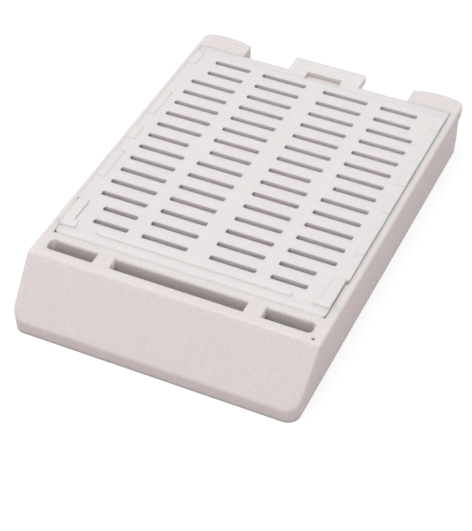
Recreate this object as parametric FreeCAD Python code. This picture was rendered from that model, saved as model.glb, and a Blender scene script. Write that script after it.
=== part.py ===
"""Tissue cassette: a slotted tray with a slanted writing face, and a slotted lid that turns
on two moulded pins near the writing face and latches over a lug at the rear.

Units are millimetres.  X is across the cassette, Y runs from the writing face to the rear and
Z is up.  The origin is the middle of the cassette's outline, on the face it rests on.
"""
import FreeCAD, Part
import math
import os

# ---- base: overall form -------------------------------------------------------------------
base_length = 41.8            # front band to the crown of the rear posts
base_width = 28.5             # across the rim
base_height = 6.0             # resting face to rim
wall_draft = 3.6              # degrees that the side walls lean in towards the foot
front_corner_radius = 1.2
rear_corner_radius = 0.9
rim_edge_radius = 0.35        # outer edge of the rim

# ---- base: writing face and the strip behind it -------------------------------------------
band_height = 1.4             # upright band under the writing face
face_run = 4.3                # how far the writing face leans back
face_edge_radius = 0.35
face_wall = 1.2               # wall behind the writing face
band_wall = 1.1               # wall behind the upright band
strip_length = 3.22           # top strip, from the writing face to the tray
strip_thickness = 1.1
tray_front_wall = 0.9
strip_edge_radius = 0.15      # rear edge of the strip, beside the nose of the lid
opening_edge_radius = 0.3     # rear edge of the strip openings
strip_lip = 0.92              # between the writing face and the strip openings
centre_opening_width = 13.1
strip_bar_width = 1.65        # bar between two strip openings
strip_end_margin = 1.3        # from the side openings to the rim
side_opening_radius = 0.45
rib_thickness = 1.0           # ribs under the strip bars
hollow_side_wall = 1.1        # at the foot, beside the hollow

# ---- base: tray ---------------------------------------------------------------------------
side_wall = 1.2
foot_recess = 0.2             # floor stands this much above the resting face
floor_thickness = 0.9
tray_corner_radius = 1.0
rear_wall = 1.15

# ---- base: rear posts ---------------------------------------------------------------------
post_width = 5.3              # at the rim
post_depth = 2.6              # behind the rear wall, at the crown
post_crown_radius = 7.5
post_cap_height = 1.4
post_waist_setback = 0.9      # under the cap, the rear of the post stands in this far
post_foot_setback = 0.1       # and leans out again to here at the foot
post_straight_side = 0.3      # posts keep straight sides this far behind the recess
post_wall = 0.8               # round the core of the post
post_core_length = 0.8
post_core_height = 3.0

# ---- lid ----------------------------------------------------------------------------------
lid_thickness = 1.0           # slotted field
lid_margin_drop = 0.2         # front and rear margins lie lower than the field
lid_pad_height = 0.1          # pads stand above the field
lid_proud = 0.25              # field above the rim
lid_side_clearance = 0.04     # lid to rim
lid_end_clearance = 0.04      # lid to the posts
lid_overhang = 0.08           # rear edge of the lid behind the rear wall
rim_width = 0.7               # rim left beside the lid
lid_rear_margin = 1.08
front_margin = 1.06           # from the nose to the step up to the field
nose_gap = 0.04               # nose to the top strip
nose_slope_length = 0.3       # nose slopes down from the margin
nose_slope_drop = 0.19
nose_corner_radius = 0.5
step_half_width = 9.6         # sharp step to the field, then a ramp on each side
step_ramp_length = 0.65

# ---- lid: pads ----------------------------------------------------------------------------
pad_width = 0.85              # along the side edges
pad_spans = ((0.132, 0.287), (0.366, 0.439), (0.524, 0.670), (0.868, 0.950))   # shares of the side
arm_pad_width = 1.07
arm_pad_length = 2.85
knuckle_pad_width = 1.57
knuckle_pad_length = 0.95
knuckle_pad_overlap = 0.1     # knuckle pads start this much in front of the field

# ---- lid: rear tab and latch --------------------------------------------------------------
tab_width = 7.65
tab_length = 2.25
tab_thickness = 0.7
tab_corner_radius = 0.25
window_width = 3.7
window_length = 1.17
window_into_tab = 0.47        # window runs on behind the rear edge of the lid
lug_side_clearance = 0.2
lug_front_clearance = 0.08
lug_length = 0.72
lug_below_tab = 0.3           # lug crest under the top of the tab
lug_slope_drop = 0.12         # lug falls towards the front
lug_root = 0.5                # depth of the lug's foot in the rear wall

# ---- hinge --------------------------------------------------------------------------------
hinge_from_nose = 1.46        # nose tip to hinge axis
hinge_below_rim = 0.55
nose_swing_gap = 0.04         # nose to the groove that it turns in
pin_radius = 0.35
pin_length = 0.5              # from the side of the arm
pin_root = 0.3                # inside the knuckle
pin_clearance = 0.06
pin_end_clearance = 0.07
knuckle_radius = 0.5
arm_side_inset = 0.25         # arms stand in from the sides of the lid
arm_gap = 0.08                # arm to the wall of the hinge pocket
arm_length = 4.93             # nose tip to the shoulder of the lid
pocket_end_gap = 0.25         # pocket runs on behind the shoulder
pocket_floor_gap = 0.1        # nose to the floor of the pocket when the lid is open
shoulder_gap = 0.3            # seat runs on in front of the shoulder

# ---- slots, in the floor and in the lid ---------------------------------------------------
slot_rows = 15
slot_width = 0.57
slot_corner = 0.12            # chamfer on the corners of a slot
slot_front_inset = 1.495      # front of the field to the middle of the front row
slot_rear_inset = 1.245       # rear of the field to the middle of the rear row
slot_side_margin = 1.76       # side of the lid to the outer slots
slot_centre_bar = 1.912
slot_column_gap = 1.424       # between the inner and the outer slots
corner_rows = 2               # rows with shorter outer slots, at each end
front_corner_inset = 1.185
rear_corner_inset = 0.9
boss_inset = 0.437            # middle row gives way to the ejector bosses
gate_inset = 0.16             # front row gives way to the gate
boss_radius = 0.9
boss_height = 0.12

# ---- places worked out from the sizes above -----------------------------------------------
front_y = -base_length / 2
crown_y = base_length / 2
draft_slope = math.tan(math.radians(wall_draft))
face_top_y = front_y + face_run
face_slope = (base_height - band_height) / face_run
tray_front_y = face_top_y + strip_length
opening_front_y = face_top_y + strip_lip
opening_rear_y = tray_front_y - tray_front_wall
recess_y = crown_y - post_depth
tray_rear_y = recess_y - rear_wall
post_waist_z = base_height - post_cap_height
floor_top = foot_recess + floor_thickness

field_top = base_height + lid_proud
seat_z = field_top - lid_thickness
margin_top = field_top - lid_margin_drop
pad_top = field_top + lid_pad_height
nose_y = tray_front_y + nose_gap
nose_tip_z = margin_top - nose_slope_drop
lid_rear_y = recess_y + lid_overhang
seat_rear_y = lid_rear_y + lid_end_clearance
seat_half_width = base_width / 2 - rim_width
lid_half_width = seat_half_width - lid_side_clearance
shoulder_y = nose_y + arm_length
field_front_y = nose_y + front_margin
field_rear_y = lid_rear_y - lid_rear_margin

hinge_y = nose_y + hinge_from_nose
hinge_z = base_height - hinge_below_rim
nose_radius = math.hypot(hinge_from_nose, nose_tip_z - hinge_z)
groove_radius = nose_radius + nose_swing_gap
pocket_floor_z = hinge_z - groove_radius - pocket_floor_gap
tray_half_width = base_width / 2 - (base_height - seat_z) * draft_slope - side_wall
arm_half_width = lid_half_width - arm_side_inset
pocket_half_width = arm_half_width + arm_gap

opening_half_width = centre_opening_width / 2
side_opening_inner = opening_half_width + strip_bar_width
side_opening_outer = base_width / 2 - strip_end_margin

tab_rear_y = lid_rear_y + tab_length
window_rear_y = lid_rear_y + window_into_tab
window_front_y = window_rear_y - window_length
lug_front_y = window_front_y + lug_front_clearance
lug_top = margin_top - lug_below_tab

front_row_y = field_front_y + slot_front_inset
slot_pitch = (field_rear_y - slot_rear_inset - front_row_y) / (slot_rows - 1)
inner_slot_start = slot_centre_bar / 2
outer_slot_end = lid_half_width - slot_side_margin
slot_length = (outer_slot_end - inner_slot_start - slot_column_gap) / 2
inner_slot_end = inner_slot_start + slot_length
outer_slot_start = outer_slot_end - slot_length

BIG = 100.0                   # longer than anything here, for cutting tools
OVER = 1.0                    # how far a tool runs past what it cuts
NEAR = 0.02                   # an edge this close to a place is taken as lying in it
MOSTLY = 0.9                  # share of an edge's direction that counts as along an axis


def half_width(z):
    """Outer half width of the drafted side walls at a height."""
    return base_width / 2 - (base_height - z) * draft_slope


def box(x0, x1, y0, y1, z0, z1):
    """Block between two corners."""
    return Part.makeBox(x1 - x0, y1 - y0, z1 - z0, FreeCAD.Vector(x0, y0, z0))


def along_x(points, x0, x1):
    """Prism of a (y, z) outline between two stations in x."""
    corners = [FreeCAD.Vector(x0, y, z) for y, z in points]
    face = Part.Face(Part.makePolygon(corners + corners[:1]))
    return face.extrude(FreeCAD.Vector(x1 - x0, 0, 0))


def along_y(points, y0, y1):
    """Prism of an (x, z) outline between two stations in y."""
    corners = [FreeCAD.Vector(x, y0, z) for x, z in points]
    face = Part.Face(Part.makePolygon(corners + corners[:1]))
    return face.extrude(FreeCAD.Vector(0, y1 - y0, 0))


def x_cylinder(x0, x1, y, z, radius):
    """Round bar along x."""
    return Part.makeCylinder(radius, x1 - x0, FreeCAD.Vector(x0, y, z), FreeCAD.Vector(1, 0, 0))


def both_sides(shape):
    """A shape and its mirror image in the middle plane."""
    mirrored = shape.mirror(FreeCAD.Vector(0, 0, 0), FreeCAD.Vector(1, 0, 0))
    return [shape, mirrored]


def edges_where(shape, test):
    """Edges whose middle and direction pass a test."""
    found = []
    for edge in shape.Edges:
        tangent = edge.tangentAt((edge.FirstParameter + edge.LastParameter) / 2)
        if test(edge.CenterOfMass, tangent):
            found.append(edge)
    return found


def upright_edges(shape, test=lambda middle: True):
    """Edges that run mostly in z."""
    return edges_where(shape, lambda middle, tangent: abs(tangent.z) > MOSTLY and test(middle))


# ---- slots ---------------------------------------------------------------------------------
def slot_span(row, column):
    """Start and end in x of one slot; rows count from the front, columns from the middle."""
    middle_row = slot_rows // 2
    if column == 0:
        start = inner_slot_start + (gate_inset if row == 0 else 0)
        end = inner_slot_end - (boss_inset if row == middle_row else 0)
        return start, end
    start = outer_slot_start + (boss_inset if row == middle_row else 0)
    end = outer_slot_end
    if row < corner_rows:
        end -= front_corner_inset
    if row >= slot_rows - corner_rows:
        end -= rear_corner_inset
    return start, end


def slot_tools(z0, z1):
    """Cutting tools of the whole slot pattern between two heights."""
    tools = []
    for row in range(slot_rows):
        y = front_row_y + row * slot_pitch
        for column in (0, 1):
            start, end = slot_span(row, column)
            tool = box(start, end, y - slot_width / 2, y + slot_width / 2, z0, z1)
            tools += both_sides(tool.makeChamfer(slot_corner, upright_edges(tool)))
    return tools


def ejector_boss_places():
    """Middles of the two round bosses between the slot columns, in the middle row."""
    x = (inner_slot_end + outer_slot_start) / 2
    y = front_row_y + slot_rows // 2 * slot_pitch
    return [(x, y), (-x, y)]


# ---- base ----------------------------------------------------------------------------------
def outer_body():
    """Solid outer form: drafted walls, writing face, rear posts with the recess between."""
    foot = half_width(0)
    top = half_width(base_height)
    outline = [(-foot, 0), (foot, 0), (top, base_height), (-top, base_height)]
    body = along_y(outline, front_y, crown_y)
    body = body.makeFillet(front_corner_radius, upright_edges(body, lambda middle: middle.y < 0))
    body = body.makeFillet(rear_corner_radius, upright_edges(body, lambda middle: middle.y > 0))

    slant = along_x(
        [(front_y - OVER, band_height - OVER * face_slope),
         (face_top_y + OVER, base_height + OVER * face_slope),
         (front_y - OVER, base_height + OVER * face_slope)], -BIG, BIG)
    body = body.cut(slant)

    post_inner_x = base_width / 2 - post_width
    recess = box(-post_inner_x, post_inner_x, recess_y, BIG, -OVER, BIG)
    return body.cut([recess] + both_sides(post_cap_tool()) + both_sides(post_column_tool()))


def behind_post(z0, z1):
    """Space round the rear of one post, between two heights."""
    post_middle_x = base_width / 2 - post_width / 2
    return box(post_middle_x - post_width, post_middle_x + post_width,
               recess_y + post_straight_side, crown_y + OVER, z0, z1)


def post_centre():
    """Centre of the crown's arc, on the resting face."""
    return FreeCAD.Vector(base_width / 2 - post_width / 2, crown_y - post_crown_radius, 0)


def post_cap_tool():
    """Trims the cap of a post to its crown."""
    crown = Part.makeCylinder(post_crown_radius, base_height + OVER, post_centre())
    return behind_post(post_waist_z, base_height + OVER).cut(crown)


def post_column_tool():
    """Trims the column under the cap, which leans out from its waist to its foot."""
    column = Part.makeCone(post_crown_radius - post_foot_setback,
                           post_crown_radius - post_waist_setback, post_waist_z, post_centre())
    return behind_post(0, post_waist_z).cut(column)


def soften(body):
    """Rounds the outer edges of the rim, then the outline of the writing face."""
    def on_face(middle, tangent):
        line_z = band_height + (middle.y - front_y) * face_slope
        return abs(line_z - middle.z) < NEAR and middle.y < face_top_y + NEAR

    def on_rim(middle, tangent):
        outside = abs(middle.x) > half_width(base_height) - NEAR
        return outside and abs(middle.z - base_height) < NEAR and abs(tangent.y) > MOSTLY

    body = body.makeFillet(rim_edge_radius, edges_where(body, on_rim))
    return body.makeFillet(face_edge_radius, edges_where(body, on_face))


def tray_cavity():
    """Inside of the tray, drafted like the walls, from the floor up."""
    depth = seat_z - floor_top
    low = tray_half_width - depth * draft_slope
    outline = [(-low, floor_top), (low, floor_top), (tray_half_width, seat_z),
               (tray_half_width, base_height + OVER), (-tray_half_width, base_height + OVER),
               (-tray_half_width, seat_z)]
    cavity = along_y(outline, tray_front_y, tray_rear_y)
    return cavity.makeFillet(tray_corner_radius, upright_edges(cavity))


def lid_seat():
    """Rebate that the side and rear edges of the lid lie in."""
    return box(-seat_half_width, seat_half_width, shoulder_y - shoulder_gap, seat_rear_y,
               seat_z, base_height + OVER)


def hinge_pockets():
    """Clear spaces beside the arms of the lid, the groove of its nose and the pin sockets."""
    pocket = box(-pocket_half_width, pocket_half_width, tray_front_y,
                 shoulder_y + pocket_end_gap, pocket_floor_z, base_height + OVER)
    groove = x_cylinder(-pocket_half_width, pocket_half_width, hinge_y, hinge_z, groove_radius)
    reach = arm_half_width + pin_length + pin_end_clearance
    socket = x_cylinder(0, reach, hinge_y, hinge_z, pin_radius + pin_clearance)
    return [pocket, groove] + both_sides(socket)


def hollow_cells():
    """Three cells under the writing face and the strip, with ribs left between them."""
    ceiling = base_height - strip_thickness
    drop = face_wall * math.hypot(1, face_slope)
    cell_front = front_y + band_wall
    low_z = band_height + band_wall * face_slope - drop
    high_y = front_y + (ceiling + drop - band_height) / face_slope
    outline = [(cell_front, -OVER), (cell_front, low_z), (high_y, ceiling),
               (opening_rear_y, ceiling), (opening_rear_y, -OVER)]
    rib_x = opening_half_width + strip_bar_width / 2
    outer = half_width(0) - hollow_side_wall
    cells = [along_x(outline, -rib_x + rib_thickness / 2, rib_x - rib_thickness / 2)]
    return cells + both_sides(along_x(outline, rib_x + rib_thickness / 2, outer))


def strip_openings():
    """Openings of the top strip into the hollow."""
    low = base_height - strip_thickness - OVER
    centre = box(-opening_half_width, opening_half_width, opening_front_y, opening_rear_y,
                 low, base_height + OVER)
    side = box(side_opening_inner, side_opening_outer, opening_front_y, opening_rear_y,
               low, base_height + OVER)
    outer_end = upright_edges(side, lambda middle: middle.x > side_opening_outer - NEAR)
    side = side.makeFillet(side_opening_radius, outer_end)
    return [centre] + both_sides(side)


def edge_round(x0, x1, y, side, radius):
    """Tool that rounds a straight edge of the strip; side is 1 where the strip is behind it."""
    middle_y = y + side * radius
    corner = box(x0, x1, min(y, middle_y), max(y, middle_y), base_height - radius, base_height + OVER)
    return corner.cut(x_cylinder(x0, x1, middle_y, base_height - radius, radius))


def strip_edges():
    """Rounding of the strip beside the nose of the lid and behind its openings."""
    nose_side = edge_round(-pocket_half_width, pocket_half_width, tray_front_y, -1, strip_edge_radius)
    centre = edge_round(-opening_half_width, opening_half_width, opening_rear_y, 1,
                        opening_edge_radius)
    side = edge_round(side_opening_inner, side_opening_outer - side_opening_radius,
                      opening_rear_y, 1, opening_edge_radius)
    return [nose_side, centre] + both_sides(side)


def underside_tools():
    """Shallow recess under the floor and the cores of the rear posts."""
    foot_half = half_width(0) - side_wall
    recess = box(-foot_half, foot_half, tray_front_y, tray_rear_y, -OVER, foot_recess)
    recess = recess.makeFillet(tray_corner_radius, upright_edges(recess))
    core_front = tray_rear_y + post_wall
    core = box(base_width / 2 - post_width + post_wall, half_width(0) - post_wall,
               core_front, core_front + post_core_length, -OVER, post_core_height)
    return [recess] + both_sides(core)


def latch_lug():
    """Lug on the rear wall that stands up in the window of the lid."""
    rear = lug_front_y + lug_length
    foot = seat_z - lug_root
    outline = [(lug_front_y, foot), (rear, foot), (rear, lug_top),
               (lug_front_y, lug_top - lug_slope_drop)]
    half = window_width / 2 - lug_side_clearance
    return along_x(outline, -half, half)


def make_base():
    body = soften(outer_body())
    body = body.cut([tray_cavity(), lid_seat()] + hinge_pockets())
    body = body.cut(hollow_cells() + strip_openings())
    body = body.cut(strip_edges() + underside_tools())
    body = body.fuse(latch_lug())
    return body.cut(slot_tools(-OVER, floor_top + OVER)).removeSplitter()


# ---- lid -----------------------------------------------------------------------------------
def arms_plate():
    """Front part of the plate, with a nose that is round about the hinge."""
    reach_y = hinge_y - nose_radius
    outline = box(-arm_half_width, arm_half_width, reach_y, shoulder_y, seat_z, margin_top)
    front_corners = upright_edges(outline, lambda middle: middle.y < hinge_y)
    outline = outline.makeFillet(nose_corner_radius, front_corners)
    round_nose = x_cylinder(-arm_half_width, arm_half_width, hinge_y, hinge_z, nose_radius)
    behind = box(-arm_half_width, arm_half_width, hinge_y, shoulder_y, seat_z, margin_top)
    slope = along_x(
        [(reach_y - OVER, nose_tip_z), (nose_y, nose_tip_z),
         (nose_y + nose_slope_length, margin_top), (nose_y + nose_slope_length, BIG),
         (reach_y - OVER, BIG)], -BIG, BIG)
    return outline.common(round_nose.fuse(behind)).cut(slope)


def lid_blank():
    """Plate with the arms, the raised field and the rear tab."""
    plate = box(-lid_half_width, lid_half_width, shoulder_y, lid_rear_y, seat_z, field_top)
    raised = box(-arm_half_width, arm_half_width, field_front_y, shoulder_y, seat_z, field_top)
    tab = box(-tab_width / 2, tab_width / 2, field_rear_y, tab_rear_y,
              margin_top - tab_thickness, margin_top)
    tab = tab.makeFillet(tab_corner_radius, upright_edges(tab, lambda middle: middle.y > lid_rear_y))
    blank = plate.fuse([arms_plate(), raised, tab])
    rear_margin = box(-BIG, BIG, field_rear_y, BIG, margin_top, BIG)
    return blank.cut([rear_margin] + both_sides(step_ramp()))


def step_ramp():
    """Wedge taken off the field beside the sharp step, up to the side of the lid."""
    outline = [(field_front_y - OVER, margin_top), (field_front_y, margin_top),
               (field_front_y + step_ramp_length, field_top), (field_front_y + step_ramp_length, BIG),
               (field_front_y - OVER, BIG)]
    return along_x(outline, step_half_width, arm_half_width + OVER)


def pads():
    """Raised pads along the sides and over the knuckles."""
    tools = []
    inner = lid_half_width - pad_width
    side_length = lid_rear_y - shoulder_y
    for start, end in pad_spans:
        tools += both_sides(box(inner, lid_half_width, shoulder_y + start * side_length,
                                shoulder_y + end * side_length, seat_z, pad_top))
    front = field_front_y - knuckle_pad_overlap
    joint = front + knuckle_pad_length
    tools += both_sides(box(arm_half_width - knuckle_pad_width, arm_half_width, front, joint,
                            hinge_z, pad_top))
    tools += both_sides(box(arm_half_width - arm_pad_width, arm_half_width, joint,
                            joint + arm_pad_length, hinge_z, pad_top))
    return tools


def hinge_knuckles():
    """Knuckles under the arms, with the pins."""
    knuckle = x_cylinder(arm_half_width - knuckle_pad_width, arm_half_width,
                         hinge_y, hinge_z, knuckle_radius)
    pin = x_cylinder(arm_half_width - pin_root, arm_half_width + pin_length,
                     hinge_y, hinge_z, pin_radius)
    return both_sides(knuckle) + both_sides(pin)


def ejector_bosses():
    """Low round bosses under the plate."""
    bosses = []
    for x, y in ejector_boss_places():
        foot = FreeCAD.Vector(x, y, seat_z - boss_height)
        bosses.append(Part.makeCylinder(boss_radius, boss_height + lid_thickness / 2, foot))
    return bosses


def make_lid():
    body = lid_blank().fuse(pads() + hinge_knuckles() + ejector_bosses())
    window = box(-window_width / 2, window_width / 2, window_front_y, window_rear_y, 0, BIG)
    return body.cut([window] + slot_tools(seat_z - OVER, pad_top + OVER)).removeSplitter()


def main():
    os.makedirs("parts", exist_ok=True)
    for name, shape in (("base", make_base()), ("lid", make_lid())):
        shape.exportStep("parts/" + name + ".step")
        print(name, "solids", len(shape.Solids), "volume %.1f" % shape.Volume)


main()
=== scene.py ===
"""Looks of the tissue cassette: moulded plastic on the CAD base and lid, a pale floor, soft
studio light and the camera.

Lengths are metres in the CAD frame.  MM turns the millimetres of a moulding into metres.
"""

import bpy
from mathutils import Matrix, Vector


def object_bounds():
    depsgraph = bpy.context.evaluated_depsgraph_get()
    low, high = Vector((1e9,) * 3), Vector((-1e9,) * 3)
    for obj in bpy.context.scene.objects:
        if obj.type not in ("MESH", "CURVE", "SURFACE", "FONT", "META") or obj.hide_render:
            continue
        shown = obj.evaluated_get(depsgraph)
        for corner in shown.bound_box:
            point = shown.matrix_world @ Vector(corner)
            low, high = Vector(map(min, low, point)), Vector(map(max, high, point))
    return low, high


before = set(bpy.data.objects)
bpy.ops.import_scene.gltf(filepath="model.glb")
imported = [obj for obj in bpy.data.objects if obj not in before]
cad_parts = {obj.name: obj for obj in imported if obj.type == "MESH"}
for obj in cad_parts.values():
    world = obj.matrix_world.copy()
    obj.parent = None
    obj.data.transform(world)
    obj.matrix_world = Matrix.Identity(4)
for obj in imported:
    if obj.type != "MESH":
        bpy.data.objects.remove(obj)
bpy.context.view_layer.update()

MM = 0.001

# colours as sRGB
BASE_TONE = (0.917, 0.888, 0.883)
LID_TONE = (0.925, 0.901, 0.900)
# painted highlight: lighter colour along the edges
EDGE_HIGHLIGHT_TONE = (0.965, 0.950, 0.948)
SPECK_TONE = (0.42, 0.40, 0.40)
OPENING_LIGHT_TONE = (0.985, 0.955, 0.960)  # painted light: lighter walls inside the openings of the strip
SLOT_SHADE_TINT = (0.975, 0.965, 0.99)      # painted shade: multiplies the tone on the walls of the slots
SLOT_END_SHADE_TINT = (0.69, 0.69, 0.70)    # painted shade, again, on their short end walls
FLOOR_TONE = (0.80, 0.733, 0.738)

# the slotted part of the floor and lid and the openings of the strip, as corners in x and y
SLOT_FIELD = ((-12.2 * MM, -11.4 * MM), (12.2 * MM, 16.6 * MM))
OPENING_FIELD = ((-12.9 * MM, -16.6 * MM), (12.9 * MM, -14.3 * MM))
BLUR = 0.02 * MM

# the low front edge under the writing face: its soft radius, and where it fades in and out
FRONT_EDGE_RADIUS = 0.45 * MM
FRONT_EDGE_Y = (-19.6 * MM, -20.2 * MM)
FRONT_EDGE_Z = (2.6 * MM, 2.0 * MM)

# the plastic: noise scales per metre, refraction, and how far light scatters in it
CLOUD_SCALE = 160.0
MATT_SCALE = 5200.0
PORE_SCALE = 14000.0
PLASTIC_IOR = 1.48
SPECULAR = 0.4
SCATTER = 0.7
SCATTER_COLOURS = (1.0, 0.78, 0.82)
SCATTER_DEPTH = 1.0 * MM

# studio light and floor
WORLD_STRENGTH = 0.645
KEY_DIRECTION = (-0.05, -0.18, 1.0)
KEY_DISTANCE = 0.30
KEY_SIZE = 0.16
KEY_POWER = 0.355
PAPER_SEEN = (0.35, 0.35, 0.35, 1.0)   # linear, what the camera sees before the glow
PAPER_GLOW = 0.72
FLOOR_GAP = 0.02 * MM

# camera: lens, and its place and aim over the resting face
LENS = 113.24
SENSOR = 36.0
CAMERA_PLACE = Vector((48.52, -109.82, 106.51)) * MM
CAMERA_RIGHT = Vector((0.90896, 0.41684, 0.0052))
CAMERA_DOWN = Vector((0.28618, -0.61486, -0.73488))

low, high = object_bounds()
low, high = Vector(low), Vector(high)
middle = (low + high) / 2
reach = (high - low).length


def linear(tone):
    """Linear colour with full alpha for an sRGB tone."""
    parts = [c / 12.92 if c <= 0.04045 else ((c + 0.055) / 1.055) ** 2.4 for c in tone]
    return (*parts, 1.0)


# ---- material helpers ----------------------------------------------------------------------
class Nodes:
    """Short names for building one node tree."""

    def __init__(self, tree):
        self.tree = tree
        tree.nodes.clear()

    def add(self, kind, settings=None, **inputs):
        node = self.tree.nodes.new(kind)
        for name, value in (settings or {}).items():
            setattr(node, name, value)
        for name, value in inputs.items():
            self.put(node.inputs[name.replace("_", " ")], value)
        return node

    def put(self, socket, value):
        if isinstance(value, bpy.types.NodeSocket):
            self.tree.links.new(value, socket)
        else:
            socket.default_value = value

    def noise(self, where, scale, detail=2.0, roughness=0.5):
        node = self.add("ShaderNodeTexNoise", Vector=where, Scale=scale, Detail=detail,
                        Roughness=roughness)
        return node.outputs["Fac"]

    def spread(self, value, low_in, high_in, low_out, high_out):
        node = self.add("ShaderNodeMapRange", Value=value)
        for name, number in (("From Min", low_in), ("From Max", high_in),
                             ("To Min", low_out), ("To Max", high_out)):
            node.inputs[name].default_value = number
        return node.outputs["Result"]

    def math(self, operation, first, second=0.0):
        node = self.add("ShaderNodeMath", {"operation": operation})
        self.put(node.inputs[0], first)
        self.put(node.inputs[1], second)
        return node.outputs[0]

    def vector(self, operation, first, second, output="Value"):
        node = self.add("ShaderNodeVectorMath", {"operation": operation})
        self.put(node.inputs[0], first)
        self.put(node.inputs[1], second)
        return node.outputs[output]

    def apart(self, value):
        node = self.add("ShaderNodeSeparateXYZ", Vector=value)
        return node.outputs[0], node.outputs[1], node.outputs[2]

    def mix(self, amount, first, second, blend="MIX"):
        node = self.add("ShaderNodeMix", {"data_type": "RGBA", "blend_type": blend})
        self.put(node.inputs[0], amount)
        self.put(node.inputs[6], first)
        self.put(node.inputs[7], second)
        return node.outputs[2]


def new_material(name):
    material = bpy.data.materials.new(name)
    material.use_nodes = True
    return material, Nodes(material.node_tree)


def between(nodes, value, low, high, blur):
    """1 where a value lies between two limits, fading out over blur."""
    above = nodes.spread(value, low - blur, low, 0.0, 1.0)
    below = nodes.spread(value, high, high + blur, 1.0, 0.0)
    return nodes.math("MULTIPLY", above, below)


def upright_walls(nodes, place, normal, field):
    """Mask of the upright walls inside a field of openings."""
    across, along, _ = nodes.apart(place)
    (x_low, y_low), (x_high, y_high) = field
    inside = nodes.math("MULTIPLY", between(nodes, across, x_low, x_high, BLUR),
                        between(nodes, along, y_low, y_high, BLUR))
    facing_z = nodes.apart(normal)[2]
    upright = nodes.spread(nodes.math("ABSOLUTE", facing_z), 0.6, 0.3, 0.0, 1.0)
    return nodes.math("MULTIPLY", inside, upright)


def facing_sideways(nodes, normal):
    """Mask of the faces that look along x."""
    facing_x = nodes.apart(normal)[0]
    return nodes.spread(nodes.math("ABSOLUTE", facing_x), 0.5, 0.9, 0.0, 1.0)


def front_edge(nodes, place):
    """Mask of the low front edge under the writing face."""
    _, along, up = nodes.apart(place)
    front = nodes.spread(along, *FRONT_EDGE_Y, 0.0, 1.0)
    return nodes.math("MULTIPLY", front, nodes.spread(up, *FRONT_EDGE_Z, 0.0, 1.0))


def moulded_plastic(name, tone, edge_radius, grain, mottle, roughness, specks=()):
    """Fine-grained off-white moulding with soft edges.

    grain is the height of its matt texture and mottle how strongly that shows in the colour.
    Its edges carry a painted highlight, the walls of the strip openings painted light, and the
    walls of the slots painted shade, darker again on their short end walls; all are placed by where
    they are on the moulding.
    """
    material, nodes = new_material(name)
    texture = nodes.add("ShaderNodeTexCoord")
    place = texture.outputs["Object"]
    geometry = nodes.add("ShaderNodeNewGeometry")

    radius = nodes.spread(front_edge(nodes, place), 0.0, 1.0, edge_radius, FRONT_EDGE_RADIUS)
    soft = nodes.add("ShaderNodeBevel", {"samples": 6}, Radius=radius)
    turn = nodes.vector("DOT_PRODUCT", soft.outputs["Normal"], geometry.outputs["Normal"])
    edge = nodes.spread(turn, 0.999, 0.90, 0.0, 1.0)

    cloud = nodes.noise(place, CLOUD_SCALE, detail=3.0)
    matt = nodes.noise(place, MATT_SCALE, detail=3.0, roughness=0.6)
    pores = nodes.noise(place, PORE_SCALE, detail=1.0)

    colour = nodes.mix(nodes.spread(cloud, 0.3, 0.7, 0.0, 0.35), linear(tone),
                       linear([c * 0.975 for c in tone]))
    colour = nodes.mix(nodes.spread(matt, 0.35, 0.75, 0.0, mottle), colour,
                       linear([c * 0.93 for c in tone]))
    # painted highlight: lighter colour along the edges that the bevel rounds
    colour = nodes.mix(nodes.math("MULTIPLY", edge, 0.45), colour, linear(EDGE_HIGHLIGHT_TONE))
    normal = texture.outputs["Normal"]
    # painted light: lighter walls inside the openings of the strip
    openings = upright_walls(nodes, place, normal, OPENING_FIELD)
    colour = nodes.mix(openings, colour, linear(OPENING_LIGHT_TONE))
    # painted shade on the walls of the slots, darker again on their short end walls
    walls = upright_walls(nodes, place, normal, SLOT_FIELD)
    end_walls = nodes.math("MULTIPLY", walls, facing_sideways(nodes, normal))
    colour = nodes.mix(walls, colour, linear(SLOT_SHADE_TINT), "MULTIPLY")
    colour = nodes.mix(end_walls, colour, linear(SLOT_END_SHADE_TINT), "MULTIPLY")
    for spot, radius in specks:
        distance = nodes.vector("DISTANCE", place, spot)
        colour = nodes.mix(nodes.spread(distance, radius, radius * 0.35, 0.0, 1.0), colour,
                           linear(SPECK_TONE))

    height = nodes.math("ADD", matt, nodes.math("MULTIPLY", pores, 0.35))
    bump = nodes.add("ShaderNodeBump", Height=height, Strength=1.0, Distance=grain,
                     Normal=soft.outputs["Normal"])
    shader = nodes.add("ShaderNodeBsdfPrincipled", Base_Color=colour, Normal=bump.outputs["Normal"],
                       Roughness=nodes.spread(matt, 0.3, 0.7, roughness - 0.05, roughness + 0.05))
    shader.inputs["IOR"].default_value = PLASTIC_IOR
    shader.inputs["Subsurface Weight"].default_value = SCATTER
    shader.inputs["Subsurface Radius"].default_value = SCATTER_COLOURS
    shader.inputs["Subsurface Scale"].default_value = SCATTER_DEPTH
    shader.inputs["Specular IOR Level"].default_value = SPECULAR
    output = nodes.add("ShaderNodeOutputMaterial")
    nodes.tree.links.new(shader.outputs[0], output.inputs["Surface"])
    return material


def dress(node, material):
    """Gives one CAD node its material."""
    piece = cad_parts[node]
    piece.data.materials.clear()
    piece.data.materials.append(material)


# ---- the cassette --------------------------------------------------------------------------
def dress_cassette():
    """Gives the base and the lid their plastics."""
    strip_speck = Vector((13.36, -16.2, 6.0)) * MM
    base = moulded_plastic("base_plastic", BASE_TONE, edge_radius=0.12 * MM, grain=0.012 * MM,
                           mottle=0.75, roughness=0.52, specks=[(strip_speck, 0.22 * MM)])
    lid = moulded_plastic("lid_plastic", LID_TONE, edge_radius=0.16 * MM, grain=0.003 * MM,
                          mottle=0.40, roughness=0.42)
    dress("base", base)
    dress("lid", lid)


# ---- studio --------------------------------------------------------------------------------
def seen_directly(nodes):
    """1 on camera, glossy and transmission rays."""
    path = nodes.add("ShaderNodeLightPath")
    seen = nodes.math("MAXIMUM", path.outputs["Is Camera Ray"], path.outputs["Is Glossy Ray"])
    return nodes.math("MAXIMUM", seen, path.outputs["Is Transmission Ray"])


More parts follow.
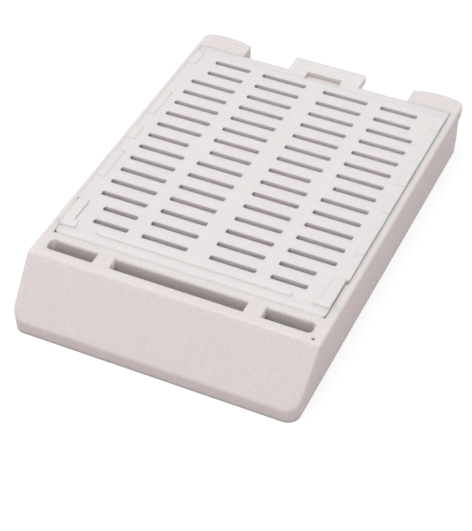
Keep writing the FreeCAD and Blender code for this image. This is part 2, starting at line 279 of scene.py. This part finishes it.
def make_floor():
    """Pale floor that reads as white paper and keeps a faint shadow."""
    half = reach * 60
    mesh = bpy.data.meshes.new("floor")
    corners = [(-half, -half, 0), (half, -half, 0), (half, half, 0), (-half, half, 0)]
    mesh.from_pydata([(x, y, low.z - FLOOR_GAP) for x, y, z in corners], [], [(0, 1, 2, 3)])
    floor = bpy.data.objects.new("floor", mesh)
    bpy.context.collection.objects.link(floor)

    material, nodes = new_material("floor_paper")
    seen = seen_directly(nodes)
    tone = nodes.mix(seen, linear(FLOOR_TONE), PAPER_SEEN)
    paper = nodes.add("ShaderNodeBsdfDiffuse", Color=tone)
    glow = nodes.add("ShaderNodeEmission", Color=(1, 1, 1, 1),
                     Strength=nodes.math("MULTIPLY", seen, PAPER_GLOW))
    both = nodes.add("ShaderNodeAddShader")
    nodes.tree.links.new(paper.outputs[0], both.inputs[0])
    nodes.tree.links.new(glow.outputs[0], both.inputs[1])
    output = nodes.add("ShaderNodeOutputMaterial")
    nodes.tree.links.new(both.outputs[0], output.inputs["Surface"])
    mesh.materials.append(material)


def make_world(strength):
    """Even white surroundings, seen as plain white."""
    world = bpy.data.worlds.new("studio")
    bpy.context.scene.world = world
    world.use_nodes = True
    nodes = Nodes(world.node_tree)
    seen = seen_directly(nodes)
    level = nodes.add("ShaderNodeMix", {"data_type": "FLOAT"})
    nodes.put(level.inputs[0], seen)
    nodes.put(level.inputs[2], strength)
    nodes.put(level.inputs[3], 1.0)
    ground = nodes.add("ShaderNodeBackground", Color=(1, 1, 1, 1), Strength=level.outputs[0])
    output = nodes.add("ShaderNodeOutputWorld")
    nodes.tree.links.new(ground.outputs[0], output.inputs["Surface"])


def make_lamp(name, direction, distance, size, power):
    """Soft square lamp that faces the cassette from a direction."""
    data = bpy.data.lights.new(name, "AREA")
    data.shape = "SQUARE"
    data.size = size
    data.energy = power
    lamp = bpy.data.objects.new(name, data)
    bpy.context.collection.objects.link(lamp)
    direction = Vector(direction).normalized()
    lamp.location = middle + direction * distance
    lamp.rotation_euler = direction.to_track_quat("Z", "Y").to_euler()


def make_camera():
    """Camera at the photograph's angle."""
    data = bpy.data.cameras.new("camera")
    data.lens = LENS
    data.sensor_width = SENSOR
    data.sensor_fit = "AUTO"
    data.clip_start = 0.005
    data.clip_end = 50.0
    camera = bpy.data.objects.new("camera", data)
    bpy.context.collection.objects.link(camera)
    right = CAMERA_RIGHT.normalized()
    up = -(CAMERA_DOWN - right * CAMERA_DOWN.dot(right)).normalized()
    turn = Matrix((right, up, right.cross(up))).transposed()
    camera.matrix_world = Matrix.Translation(CAMERA_PLACE) @ turn.to_4x4()
    bpy.context.scene.camera = camera


dress_cassette()
make_floor()
make_world(WORLD_STRENGTH)
make_lamp("key", KEY_DIRECTION, KEY_DISTANCE, KEY_SIZE, KEY_POWER)
make_camera()
bpy.context.scene.view_settings.view_transform = "Standard"
